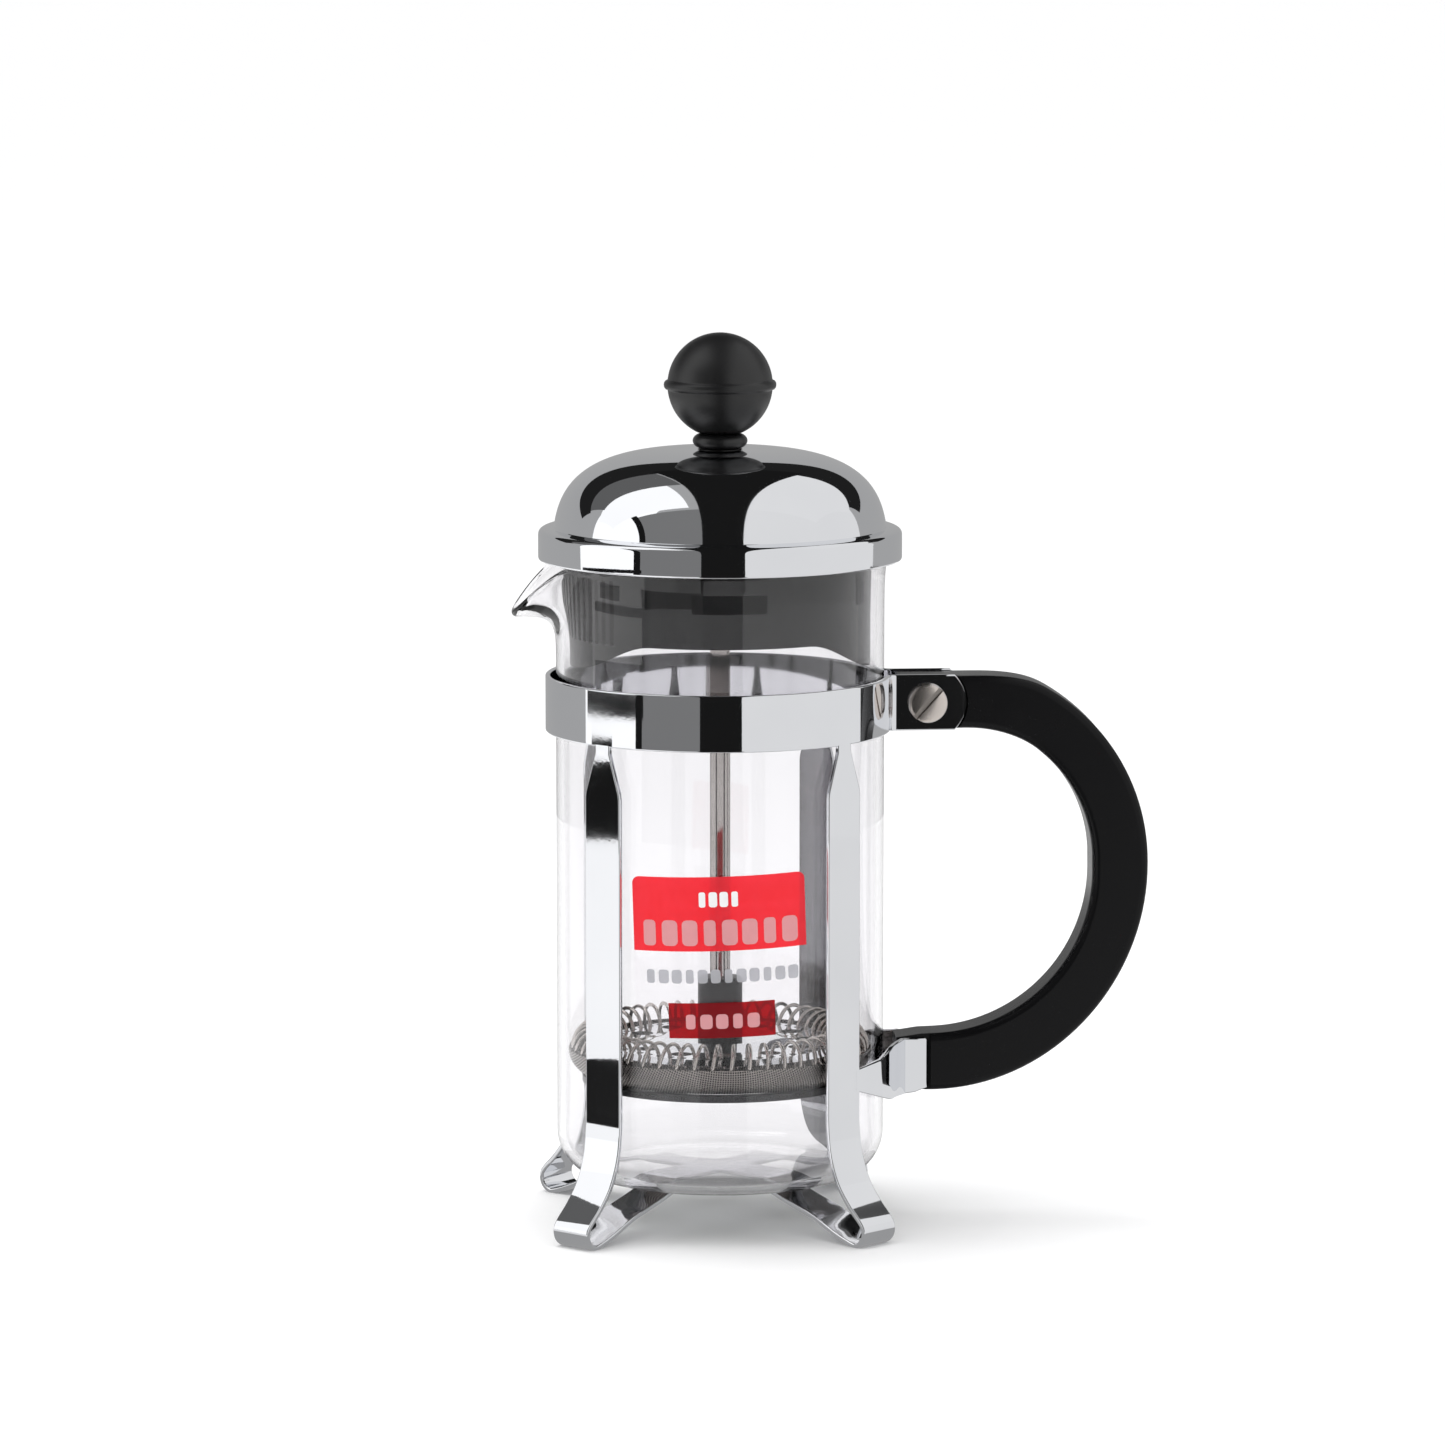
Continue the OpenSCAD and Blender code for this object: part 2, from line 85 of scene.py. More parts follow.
beaker_lo, beaker_hi = span("beaker")
RIM_FLARE = 0.5
GLASS_R = beaker_hi.y - RIM_FLARE
BORE_R = GLASS_R - GLASS_T
BEAKER_Z, RIM_Z = beaker_lo.z, beaker_hi.z
SPOUT_REACH = -beaker_lo.x


# ---- small geometry helpers ----


def lerp(a, b, t):
    return a + (b - a) * t


def arc(cx, cy, rx, ry, start, end, steps):
    """Points on an ellipse's arc; start and end are in degrees."""
    angles = [radians(lerp(start, end, i / steps)) for i in range(steps + 1)]
    return [(cx + rx * cos(a), cy + ry * sin(a)) for a in angles]


def bezier(a, b, c, d, steps):
    """Points on a cubic curve from a to d."""
    a, b, c, d = (np.array(p, float) for p in (a, b, c, d))
    ts = [i / steps for i in range(steps + 1)]
    return [
        tuple(a * (1 - t) ** 3 + b * 3 * t * (1 - t) ** 2 + c * 3 * t * t * (1 - t) + d * t**3)
        for t in ts
    ]


def smooth_path(points, steps):
    """A Catmull-Rom curve through given points."""
    p = [np.array(q, float) for q in points]
    made = []
    for i in range(len(p) - 1):
        a, b, c, d = p[max(i - 1, 0)], p[i], p[i + 1], p[min(i + 2, len(p) - 1)]
        for k in range(steps):
            t = k / steps
            made.append(
                0.5 * (2 * b + (c - a) * t + (2 * a - 5 * b + 4 * c - d) * t**2
                       + (3 * b - a - 3 * c + d) * t**3)
            )
    return made + [p[-1]]


def rounded(points, steps=4):
    """A closed outline whose points are (x, y) or (x, y, corner radius)."""
    made = []
    for i, p in enumerate(points):
        here = np.array(p[:2], float)
        if len(p) < 3:
            made.append(tuple(here))
            continue
        ends = []
        for q in (points[i - 1], points[(i + 1) % len(points)]):
            along = np.array(q[:2], float) - here
            length = np.linalg.norm(along)
            ends.append(here + along / length * min(p[2], length * 0.48))
        for k in range(steps + 1):
            t = k / steps
            q = ends[0] * (1 - t) ** 2 + here * 2 * t * (1 - t) + ends[1] * t * t
            made.append(tuple(q))
    return made


def piece(name, verts, faces, node=None, material=None, sharp=35, uvs=None):
    """A mesh object from millimetre points. With a node, it stands for that node on its body."""
    mesh = bpy.data.meshes.new(name)
    mesh.from_pydata([(x * MM + AXIS_X, y * MM, z * MM) for x, y, z in verts], [], faces)
    if uvs is not None:
        layer = mesh.uv_layers.new(name="flat")
        for loop in mesh.loops:
            layer.data[loop.index].uv = uvs[loop.vertex_index]
    tidy(mesh, sharp)
    obj = bpy.data.objects.new(name, mesh)
    bpy.context.scene.collection.objects.link(obj)
    if node:
        stand_for(obj, node, material)
    return obj


def tidy(mesh, sharp):
    """Joins doubled points, turns the faces outwards and shades all but the sharp edges smooth."""
    bm = bmesh.new()
    bm.from_mesh(mesh)
    bmesh.ops.remove_doubles(bm, verts=bm.verts, dist=1e-6)
    bmesh.ops.recalc_face_normals(bm, faces=bm.faces)
    bm.to_mesh(mesh)
    bm.free()
    mesh.shade_smooth()
    mesh.set_sharp_from_angle(angle=radians(sharp))


def stand_for(obj, node, material):
    """Puts the piece in a CAD node's place. Flat faces keep their true normals beside the fillets."""
    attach(obj, BODY_OF[node])
    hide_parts(node)
    obj.data.materials.clear()
    obj.data.materials.append(material)
    even = obj.modifiers.new("even", "WEIGHTED_NORMAL")
    even.keep_sharp = True


def add_to(obj, body, material):
    """A further piece on a body, which stands for no CAD node."""
    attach(obj, body)
    obj.data.materials.append(material)


def ring_faces(rows, columns, closed_rows=True):
    """Quads between rows of points. Each row closes on itself, and the last row may join the first."""
    faces = []
    for i in range(rows if closed_rows else rows - 1):
        j = (i + 1) % rows
        for k in range(columns):
            m = (k + 1) % columns
            faces.append((i * columns + k, j * columns + k, j * columns + m, i * columns + m))
    return faces


def grid_faces(columns, rows):
    """Quads of an open sheet with this many cells each way."""
    n = rows + 1
    return [(i * n + k, (i + 1) * n + k, (i + 1) * n + k + 1, i * n + k + 1)
            for i in range(columns) for k in range(rows)]


def full_turn(steps):
    """Even angles round a circle, in radians."""
    return [2 * pi * i / steps for i in range(steps)]


def lathe(name, profile, node=None, material=None, steps=128, sharp=35, uvs=None):
    """A closed profile of (radius, z), turned round the press axis."""
    verts = [(r * cos(a), r * sin(a), z) for a in full_turn(steps) for r, z in profile]
    return piece(name, verts, ring_faces(steps, len(profile)), node, material, sharp, uvs)


def sweep(stations, corner=0.3):
    """A strip with rounded edges. A station is (middle, normal, across, half thickness, half width)."""
    corner_steps = 3
    count = 4 * (corner_steps + 1)
    verts = []
    for middle, normal, across, half_t, half_w in stations:
        c = min(corner, half_t * 0.95, half_w * 0.95)
        for a, b, start in ((1, 1, 0), (-1, 1, 90), (-1, -1, 180), (1, -1, 270)):
            for u, v in arc(a * (half_t - c), b * (half_w - c), c, c, start, start + 90, corner_steps):
                verts.append(tuple(middle + normal * u + across * v))
    faces = ring_faces(len(stations), count, closed_rows=False)
    faces.append(tuple(range(count)))
    faces.append(tuple(len(verts) - count + k for k in range(count)))
    return verts, faces


def plan_normals(points):
    """Unit normals in the plane of a 2-D path."""
    made = []
    for i in range(len(points)):
        along = np.array(points[min(i + 1, len(points) - 1)], float) - points[max(i - 1, 0)]
        along /= np.linalg.norm(along)
        made.append((along[1], -along[0]))
    return made


def cut_away(obj, cutters):
    """Cuts the cutters' shapes out of obj and deletes the cutters."""
    for cutter in cutters:
        modifier = obj.modifiers.new("cut", "BOOLEAN")
        modifier.operation = "DIFFERENCE"
        modifier.solver = "EXACT"
        modifier.object = cutter
    bpy.context.view_layer.update()
    made = bpy.data.meshes.new_from_object(obj.evaluated_get(bpy.context.evaluated_depsgraph_get()))
    obj.modifiers.clear()
    obj.data = made
    for cutter in cutters:
        bpy.data.objects.remove(cutter)
    made.shade_smooth()
    made.set_sharp_from_angle(angle=radians(32))


def slab(outline, y0, y1):
    """Points and faces of an x-z outline made solid from y0 to y1."""
    n = len(outline)
    verts = [(x, y, z) for y in (y0, y1) for x, z in outline]
    faces = ring_faces(2, n, closed_rows=False)
    return verts, faces + [tuple(range(n)), tuple(range(n, 2 * n))]


# ---- materials ----


def new_material(name):
    """A material with its nodes, its links and its shader."""
    material = bpy.data.materials.new(name)
    material.use_nodes = True
    nodes = material.node_tree.nodes
    return material, nodes, material.node_tree.links, nodes["Principled BSDF"]


def noise(nodes, links, scale, detail=3.0, stretch=(1, 1, 1)):
    """Noise in object coordinates, which are metres."""
    place = nodes.new("ShaderNodeTexCoord")
    mapping = nodes.new("ShaderNodeMapping")
    mapping.inputs["Scale"].default_value = stretch
    made = nodes.new("ShaderNodeTexNoise")
    made.inputs["Scale"].default_value = scale
    made.inputs["Detail"].default_value = detail
    links.new(place.outputs["Object"], mapping.inputs["Vector"])
    links.new(mapping.outputs["Vector"], made.inputs["Vector"])
    return made.outputs["Fac"]


def ramp(nodes, links, source, low, high, start=0.3, end=0.7):
    """A number from low to high as source goes from start to end."""
    made = nodes.new("ShaderNodeMapRange")
    made.inputs["From Min"].default_value = start
    made.inputs["From Max"].default_value = end
    made.inputs["To Min"].default_value = low
    made.inputs["To Max"].default_value = high
    links.new(source, made.inputs["Value"])
    return made.outputs["Result"]


def tint(nodes, links, source, low, high):
    """A colour between low and high."""
    made = nodes.new("ShaderNodeMix")
    made.data_type = "RGBA"
    made.inputs["A"].default_value = (*low, 1)
    made.inputs["B"].default_value = (*high, 1)
    links.new(source, made.inputs["Factor"])
    return made.outputs["Result"]


def bump(nodes, links, source, depth_mm, shader, strength=1.0):
    """Relief of this depth on the shader's normal."""
    made = nodes.new("ShaderNodeBump")
    made.inputs["Strength"].default_value = strength
    made.inputs["Distance"].default_value = depth_mm * MM
    links.new(source, made.inputs["Height"])
    links.new(made.outputs["Normal"], shader.inputs["Normal"])


def worn(name, setting, value, drift, low, high, roughness, grain, depth, stretch=(1, 1, 1)):
    """A worn surface, whose tone and gloss both drift with one broad noise, over a fine relief.
    setting and value are a constant of the shader's, and drift is the broad noise's scale and detail."""
    material, nodes, links, shader = new_material(name)
    shader.inputs[setting].default_value = value
    broad = noise(nodes, links, *drift)
    fine = noise(nodes, links, grain, 2, stretch)
    links.new(tint(nodes, links, broad, low, high), shader.inputs["Base Color"])
    links.new(ramp(nodes, links, broad, *roughness), shader.inputs["Roughness"])
    bump(nodes, links, fine, depth, shader)
    return material


def metal(name, low, high, roughness, grain=900, depth=0.0008, stretch=(1, 1, 1)):
    """Metal with fine scratches, which stretch can draw out along an axis."""
    return worn(name, "Metallic", 1, (45, 4), low, high, roughness, grain, depth, stretch)


def plastic(name, low, high, roughness, grain, depth, specular):
    """Moulded plastic with a fine grain, and a gloss that drifts where hands have polished it."""
    return worn(name, "Specular IOR Level", specular, (60, 3), low, high, roughness, grain, depth)


def mix_shaders(nodes, links, share, first, second):
    """Sends a mix of two shaders to the output. share is a number, or a socket that gives one."""
    mix = nodes.new("ShaderNodeMixShader")
    if isinstance(share, float):
        mix.inputs["Fac"].default_value = share
    else:
        links.new(share, mix.inputs["Fac"])
    links.new(first.outputs["BSDF"], mix.inputs[1])
    links.new(second.outputs["BSDF"], mix.inputs[2])
    links.new(mix.outputs["Shader"], nodes["Material Output"].inputs["Surface"])


def see_through(nodes, colour):
    """A shader that lets light straight through, tinted."""
    made = nodes.new("ShaderNodeBsdfTransparent")
    made.inputs["Color"].default_value = (*colour, 1)
    return made


def glass_material():
    """Clear glass with a slight tint. Shadows and bounced light pass it, as they do a thin wall."""
    material, nodes, links, shader = new_material("clear_glass")
    shader.inputs["Base Color"].default_value = (0.885, 0.88, 0.89, 1)
    shader.inputs["Transmission Weight"].default_value = 1
    shader.inputs["IOR"].default_value = 1.47
    smears = noise(nodes, links, 70, 5)
    links.new(ramp(nodes, links, smears, 0.0, 0.012, 0.45, 0.75), shader.inputs["Roughness"])
    ripple = noise(nodes, links, 28, 1, (1, 1, 0.25))
    bump(nodes, links, ripple, 0.05, shader, 0.35)
    path = nodes.new("ShaderNodeLightPath")
    either = nodes.new("ShaderNodeMath")
    either.operation = "MAXIMUM"
    links.new(path.outputs["Is Shadow Ray"], either.inputs[0])
    links.new(path.outputs["Is Diffuse Ray"], either.inputs[1])
    mix_shaders(nodes, links, either.outputs["Value"], shader, see_through(nodes, (0.88, 0.89, 0.885)))
    return material


def ink(name, low, high, through, share):
    """Print on clear film: a share of the light passes it, tinted, and the rest comes back off it."""
    material, nodes, links, shader = new_material(name)
    mottle = noise(nodes, links, 400, 3)
    links.new(tint(nodes, links, mottle, low, high), shader.inputs["Base Color"])
    links.new(ramp(nodes, links, mottle, 0.28, 0.4), shader.inputs["Roughness"])
    mix_shaders(nodes, links, share, shader, see_through(nodes, through))
    return material


def woven_material():
    """Plain-woven wire: two crossing sets of threads, laid flat before the dish was pressed."""
    pitch_mm = 0.56
    material, nodes, links, shader = new_material("woven_mesh")
    shader.inputs["Metallic"].default_value = 1
    flat = nodes.new("ShaderNodeUVMap")
    flat.uv_map = "flat"
    split = nodes.new("ShaderNodeSeparateXYZ")
    links.new(flat.outputs["UV"], split.inputs["Vector"])
    threads = []
    for axis in ("X", "Y"):
        turn = nodes.new("ShaderNodeMath")
        turn.operation = "MULTIPLY"
        turn.inputs[1].default_value = 2 * pi / pitch_mm
        wave = nodes.new("ShaderNodeMath")
        wave.operation = "SINE"
        links.new(split.outputs[axis], turn.inputs[0])
        links.new(turn.outputs["Value"], wave.inputs[0])
        threads.append(wave.outputs["Value"])
    over = nodes.new("ShaderNodeMath")
    over.operation = "MAXIMUM"
    links.new(threads[0], over.inputs[0])
    links.new(threads[1], over.inputs[1])
    raised = over.outputs["Value"]
    shade = ramp(nodes, links, raised, 0, 1, 0.0, 0.95)
    # Painted shade: the gaps between the threads are near black.
    shaded_gap, thread = (0.012, 0.011, 0.01), (0.42, 0.385, 0.355)
    links.new(tint(nodes, links, shade, shaded_gap, thread), shader.inputs["Base Color"])
    links.new(ramp(nodes, links, raised, 0.6, 0.28, -0.5, 1), shader.inputs["Roughness"])
    bump(nodes, links, raised, 0.1, shader, 0.9)
    return material


CHROME = metal("chrome", (0.80, 0.81, 0.84), (0.88, 0.89, 0.91), (0.015, 0.05))
# Painted shade: a darker copy of the chrome, which the legs' inner faces wear.
SHADED_INNER_CHROME = metal("inner_chrome_painted_shade", (0.2, 0.2, 0.21), (0.3, 0.3, 0.315), (0.1, 0.2),
                     grain=1600, depth=0.003, stretch=(1, 1, 0.1))
NICKEL = metal("nickel", (0.66, 0.6, 0.56), (0.8, 0.74, 0.69), (0.16, 0.3), grain=1500, depth=0.003)
DRAWN = metal("drawn_steel", (0.34, 0.315, 0.3), (0.54, 0.51, 0.49), (0.05, 0.12),
              grain=2500, depth=0.0015, stretch=(1, 1, 0.03))
WIRE = metal("spring_wire", (0.5, 0.46, 0.43), (0.7, 0.66, 0.62), (0.14, 0.26), grain=1800, depth=0.002)
# Painted reflection: near-black steel for the cross plate, whose rim only looks dark from the dark things it
# mirrors.
PAINTED_DARK_REFLECTION_STEEL = metal("dark_steel", (0.02, 0.02, 0.021), (0.05, 0.05, 0.053), (0.24, 0.4),
                   grain=1200, depth=0.003)
BLACK = plastic("black_plastic", (0.004, 0.004, 0.0045), (0.007, 0.007, 0.0075), (0.34, 0.44),
                grain=2600, depth=0.004, specular=0.6)
HANDLE_BLACK = plastic("handle_plastic", (0.003, 0.003, 0.0034), (0.005, 0.005, 0.0055), (0.2, 0.28),
                       grain=2600, depth=0.003, specular=0.16)
LID_BLACK = plastic("lid_plastic", (0.004, 0.004, 0.0045), (0.008, 0.008, 0.009), (0.3, 0.42),
                    grain=2200, depth=0.005, specular=0.26)
GLASS = glass_material()
WOVEN = woven_material()


# ---- beaker ----

LIP_Z = 135.1  # middle of the spout's lip
LIP_R = 1
SPOUT_HALF = 36  # degrees from the spout's middle to its sides
SPOUT_Z = 126  # where the spout starts to leave the wall
BEAD_R = 1.1  # half the height of the plain rim
FOOT_R = 10  # rounded edge of the bottom


def part_way(plain, spout, w):
    """Between the plain wall and the spout, the height changes later than the reach."""
    return (lerp(plain[0], spout[0], w), lerp(plain[1], spout[1], w**1.25))


def wall_section(w):
    """The wall's section where the spout's share of the shape is w, as (radius, z)."""
    top = RIM_Z - BEAD_R
    steps = 18
    outside_spout = bezier(
        (GLASS_R, SPOUT_Z), (GLASS_R, LIP_Z - 1.4), (GLASS_R + 1.5, LIP_Z - LIP_R),
        (SPOUT_REACH - LIP_R, LIP_Z - LIP_R), steps)
    inside_spout = bezier(
        (BORE_R, SPOUT_Z), (BORE_R, LIP_Z + 0.5), (GLASS_R + 0.5, LIP_Z + LIP_R),
        (SPOUT_REACH - LIP_R, LIP_Z + LIP_R), steps)
    ts = [i / steps for i in range(steps + 1)]
    outside = [(GLASS_R + RIM_FLARE * t**6, lerp(SPOUT_Z, top, t)) for t in ts]
    inside = [(BORE_R, lerp(SPOUT_Z, top, t)) for t in ts]
    middle = part_way((GLASS_R + RIM_FLARE - BEAD_R, top), (SPOUT_REACH - LIP_R, LIP_Z), w)
    half = (lerp((GLASS_R + RIM_FLARE - BORE_R) / 2, LIP_R, w), lerp(BEAD_R, LIP_R, w))
    rim = arc(*middle, *half, 15 - 90 * w, 165 - 90 * w, 10)
    centre = (GLASS_R - FOOT_R, BEAKER_Z + FOOT_R)
    return (
        [(0, BEAKER_Z + 1.2), (12, BEAKER_Z + 0.9), (22, BEAKER_Z + 0.2)]
        + arc(*centre, FOOT_R, FOOT_R, -84, 0, 12)
        + [(GLASS_R, lerp(BEAKER_Z + FOOT_R, SPOUT_Z, k / 6)) for k in range(1, 6)]
        + [part_way(p, q, w) for p, q in zip(outside, outside_spout)]
        + rim
        + [part_way(p, q, w) for p, q in zip(inside, inside_spout)][::-1]
        + [(BORE_R, lerp(SPOUT_Z, BEAKER_Z + FOOT_R, k / 6)) for k in range(1, 6)]
        + arc(*centre, FOOT_R - GLASS_T, FOOT_R - GLASS_T, 0, -84, 12)
        + [(22, BEAKER_Z + GLASS_T + 0.2), (12, BEAKER_Z + GLASS_T + 0.9), (0, BEAKER_Z + GLASS_T + 1.2)]
    )


def spout_share(a):
    """How far the wall is drawn into the spout at an azimuth, from 0 to 1."""
    off = abs(a % 360 - 180)
    return 0 if off >= SPOUT_HALF else (0.5 + 0.5 * cos(pi * off / SPOUT_HALF)) ** 1.7


def beaker():
    spout_steps, plain_steps = 72, 96
    angles = [180 + SPOUT_HALF * lerp(-1, 1, k / spout_steps) for k in range(spout_steps)]
    angles += [lerp(180 + SPOUT_HALF, 540 - SPOUT_HALF, k / plain_steps) for k in range(plain_steps)]
    rows = [[(r * cos(radians(a)), r * sin(radians(a)), z) for r, z in wall_section(spout_share(a))]
            for a in angles]
    n = len(rows[0])
    faces = []
    for i in range(len(rows)):
        j = (i + 1) % len(rows)
        faces += [(i * n + k, j * n + k, j * n + k + 1, i * n + k + 1) for k in range(n - 1)]
    piece("beaker_glass", [p for row in rows for p in row], faces, "beaker", GLASS, 60)


# ---- label ----

FILM_HALF = 18.6
FILM_Z = (46.5, 81.7)
FILM_TILT = radians(1.8)  # it was put on a little askew
FILM_TURN = radians(-4)  # and a little to the left
FILM_R = (GLASS_R + 0.03, GLASS_R + 0.1)
BLOCK_R = (GLASS_R + 0.1, GLASS_R + 0.12)
MARK_R = (GLASS_R + 0.14, GLASS_R + 0.16)


def film(name, s0, s1, t0, t1, radii, corner_top=0.0, corner_low=0.0):
    """A patch of film bent round the glass, between two radii. It spans s0 to s1 sideways and t0 to
    t1 upwards from the label's middle."""
    columns, rows = max(8, int((s1 - s0) * 2)), 6
    middle_z = (FILM_Z[0] + FILM_Z[1]) / 2

    def dip(s, corner):
        d = max(0, corner - min(s - s0, s1 - s))
        return corner - sqrt(max(corner**2 - d * d, 0)) if corner else 0

    def place(s, t, r):
        u = s * cos(FILM_TILT) - t * sin(FILM_TILT)
        v = s * sin(FILM_TILT) + t * cos(FILM_TILT)
        x, y = u, -sqrt(r * r - u * u)
        turned_x = x * cos(FILM_TURN) - y * sin(FILM_TURN)
        turned_y = x * sin(FILM_TURN) + y * cos(FILM_TURN)
        return (turned_x, turned_y, middle_z + v)

    verts = []
    for r in radii:
        for i in range(columns + 1):
            s = lerp(s0, s1, 0.5 - 0.5 * cos(pi * i / columns))
            low, high = t0 + dip(s, corner_low), t1 - dip(s, corner_top)
            verts += [place(s, lerp(low, high, k / rows), r) for k in range(rows + 1)]
    n, layer = rows + 1, (columns + 1) * (rows + 1)
    faces = grid_faces(columns, rows)
    faces += [tuple(layer + v for v in f) for f in faces]
    edge = [i * n for i in range(columns)] + [columns * n + k for k in range(rows)]
    edge += [i * n + rows for i in range(columns, 0, -1)] + list(range(rows, 0, -1))
    faces += [(a, b, b + layer, a + layer) for a, b in zip(edge, edge[1:] + edge[:1])]
    return piece(name, verts, faces)


def label():
    """The clear film, two red blocks, and rows of plain marks where a label has its words."""
    clear_film = ink("clear_film", (0.9, 0.9, 0.92), (1, 1, 1), (0.985, 0.98, 0.985), 0.985)
    red = ink("red_ink", (0.93, 0.03, 0.05), (0.99, 0.042, 0.068), (0.97, 0.03, 0.055), 0.5)
    deep_red = ink("deep_red_ink", (0.3, 0.006, 0.014), (0.38, 0.01, 0.02), (0.8, 0.02, 0.045), 0.6)
    white = ink("white_ink", (0.85, 0.85, 0.86), (0.95, 0.95, 0.95), (0.9, 0.9, 0.9), 0.15)
    pale = ink("pale_ink", (0.8, 0.4, 0.42), (0.86, 0.46, 0.48), (0.95, 0.55, 0.57), 0.4)
    grey = ink("grey_ink", (0.5, 0.5, 0.53), (0.58, 0.58, 0.6), (0.75, 0.75, 0.78), 0.45)
    half = (FILM_Z[1] - FILM_Z[0]) / 2
    carrier = film("label_film_clear", -FILM_HALF, FILM_HALF, -half, half, FILM_R, 1.6)
    stand_for(carrier, "label_film", clear_film)
    # name, (left, right, bottom, top), corner, ink
    blocks = [
        ("upper", (-FILM_HALF, FILM_HALF, 1.4, half), 1.6, red),
        ("lower", (-11.6, 11.4, -half, -9.9), 0, deep_red),
    ]
    for name, spans, corner, material in blocks:
        block = film("label_block_" + name, *spans, BLOCK_R, corner)
        add_to(block, "beaker", material)
    # name, number of marks, left, right, bottom, top, ink
    rows = [
        ("white", 4, -4.8, 4.6, 11, 14.3, white),
        ("pale", 8, -17.3, 17.3, 2.6, 8.2, pale),
        ("grey", 12, -16.6, 17, -5.6, -2.6, grey),
        ("low", 5, -8.6, 8.4, -15.6, -12.4, pale),
    ]
    for name, count, s0, s1, t0, t1, material in rows:
        pitch = (s1 - s0) / count
        for i in range(count):
            width = pitch * (0.78 if i % 3 else 0.6)
            corner = width * 0.3
            start = s0 + pitch * i + (pitch - width) / 2
            mark = film(f"label_{name}_{i}", start, start + width, t0, t1, MARK_R, corner, corner)
            add_to(mark, "beaker", material)


# ---- frame ----

CROSS_TOP = span("base_cross")[1].z
CROSS_R = 16.8  # where a leg's inner end meets the crossing strips

# The middle of a leg's strip from the neck to the crossing strips, as (radius, z).
FOOT_PATH = [
    (STRIP_MID, 30), (STRIP_MID + 0.1, 25), (STRIP_MID + 0.9, 19), (STRIP_MID + 3.1, 13.2),
    (STRIP_MID + 6.4, 8.8), (STRIP_MID + 9.6, 5.6), (STRIP_MID + 10.6, 3.9),
    (STRIP_MID + 10.2, 1.9), (STRIP_MID + 8.7, 0.62), (STRIP_MID + 6.9, 0.62),
    (STRIP_MID + 2, 2.3), (33.4, 5), (28.2, 6.6), (23.9, 7.9), (20.4, CROSS_TOP - 0.8),
    (18.4, CROSS_TOP - STRIP_T / 2), (CROSS_R, CROSS_TOP - STRIP_T / 2),
]


def leg(node, azimuth):
    """One strip from the band down to the rolled foot and back under the glass."""
    neck, shoulder = BAND_Z - 1.5, BAND_Z - 10.5
    heights = (BAND_Z + 0.4, neck, BAND_Z - 6, shoulder + 0.6, shoulder - 0.6, 80, 55)
    path = [(STRIP_MID, z) for z in heights] + [tuple(p) for p in smooth_path(FOOT_PATH, 6)]
    a = radians(azimuth)
    outward, across = Vector((cos(a), sin(a), 0)), Vector((-sin(a), cos(a), 0))
    stations = []
    for (r, z), (nr, nz) in zip(path, plan_normals(path)):
        width = np.interp(z, [shoulder, neck], [LEG_W, NECK_W])
        middle = Vector((FRAME_X, 0, z)) + outward * r
        stations.append((middle, outward * nr + Vector((0, 0, nz)), across, STRIP_T / 2, width / 2))
    verts, faces = sweep(stations)
    verts = [(x, y, max(z, 0)) for x, y, z in verts]
    made = piece(node + "_strip", verts, faces, node, CHROME, 40)
    # Painted shade: the legs' inner faces, from 20 mm up, take the darker copy of the chrome.
    made.data.materials.append(SHADED_INNER_CHROME)
    inner_shade_from = 20 * MM
    for face in made.data.polygons:
        if face.normal.dot(outward) < -0.7 and face.center.z > inner_shade_from:
            face.material_index = 1


def band():
    """The band and its ears, from one ear's rounded end round the glass to the other's."""
    bend = 1.6 + STRIP_T / 2
    bend_x = FRAME_X + sqrt((STRIP_MID + bend) ** 2 - (EAR_Y + bend) ** 2)
    turn = degrees(atan2(EAR_Y + bend, bend_x - FRAME_X))
    ear_r = EAR_REACH - SCREW_X
    full = (BAND_TOP - BAND_Z) / 2
    corner = degrees(asin(full / ear_r))
    half = [
        (SCREW_X + ear_r * cos(radians(t)), EAR_Y, ear_r * sin(radians(t)))
        for t in (4, 9, 15, 22, 29, 36, 42, corner)
    ]
    half += [(x, EAR_Y, full) for x in (49, SCREW_X, 41.5)]
    half += [(x, y, full) for x, y in arc(bend_x, EAR_Y + bend, bend, bend, -90, turn - 180, 7)]
    half += [(x, y, full) for x, y in arc(FRAME_X, 0, STRIP_MID, STRIP_MID, turn + 2, 180, 60)]
    path = half + [(x, -y, h) for x, y, h in half[-2::-1]]
    stations = [
        (Vector((x, y, SCREW_Z)), Vector((nx, ny, 0)), Vector((0, 0, 1)), STRIP_T / 2, h)
        for (x, y, h), (nx, ny) in zip(path, plan_normals([p[:2] for p in path]))
    ]
    verts, faces = sweep(stations, 0.32)
    piece("band_strip", verts, faces, "frame_band", CHROME, 40)


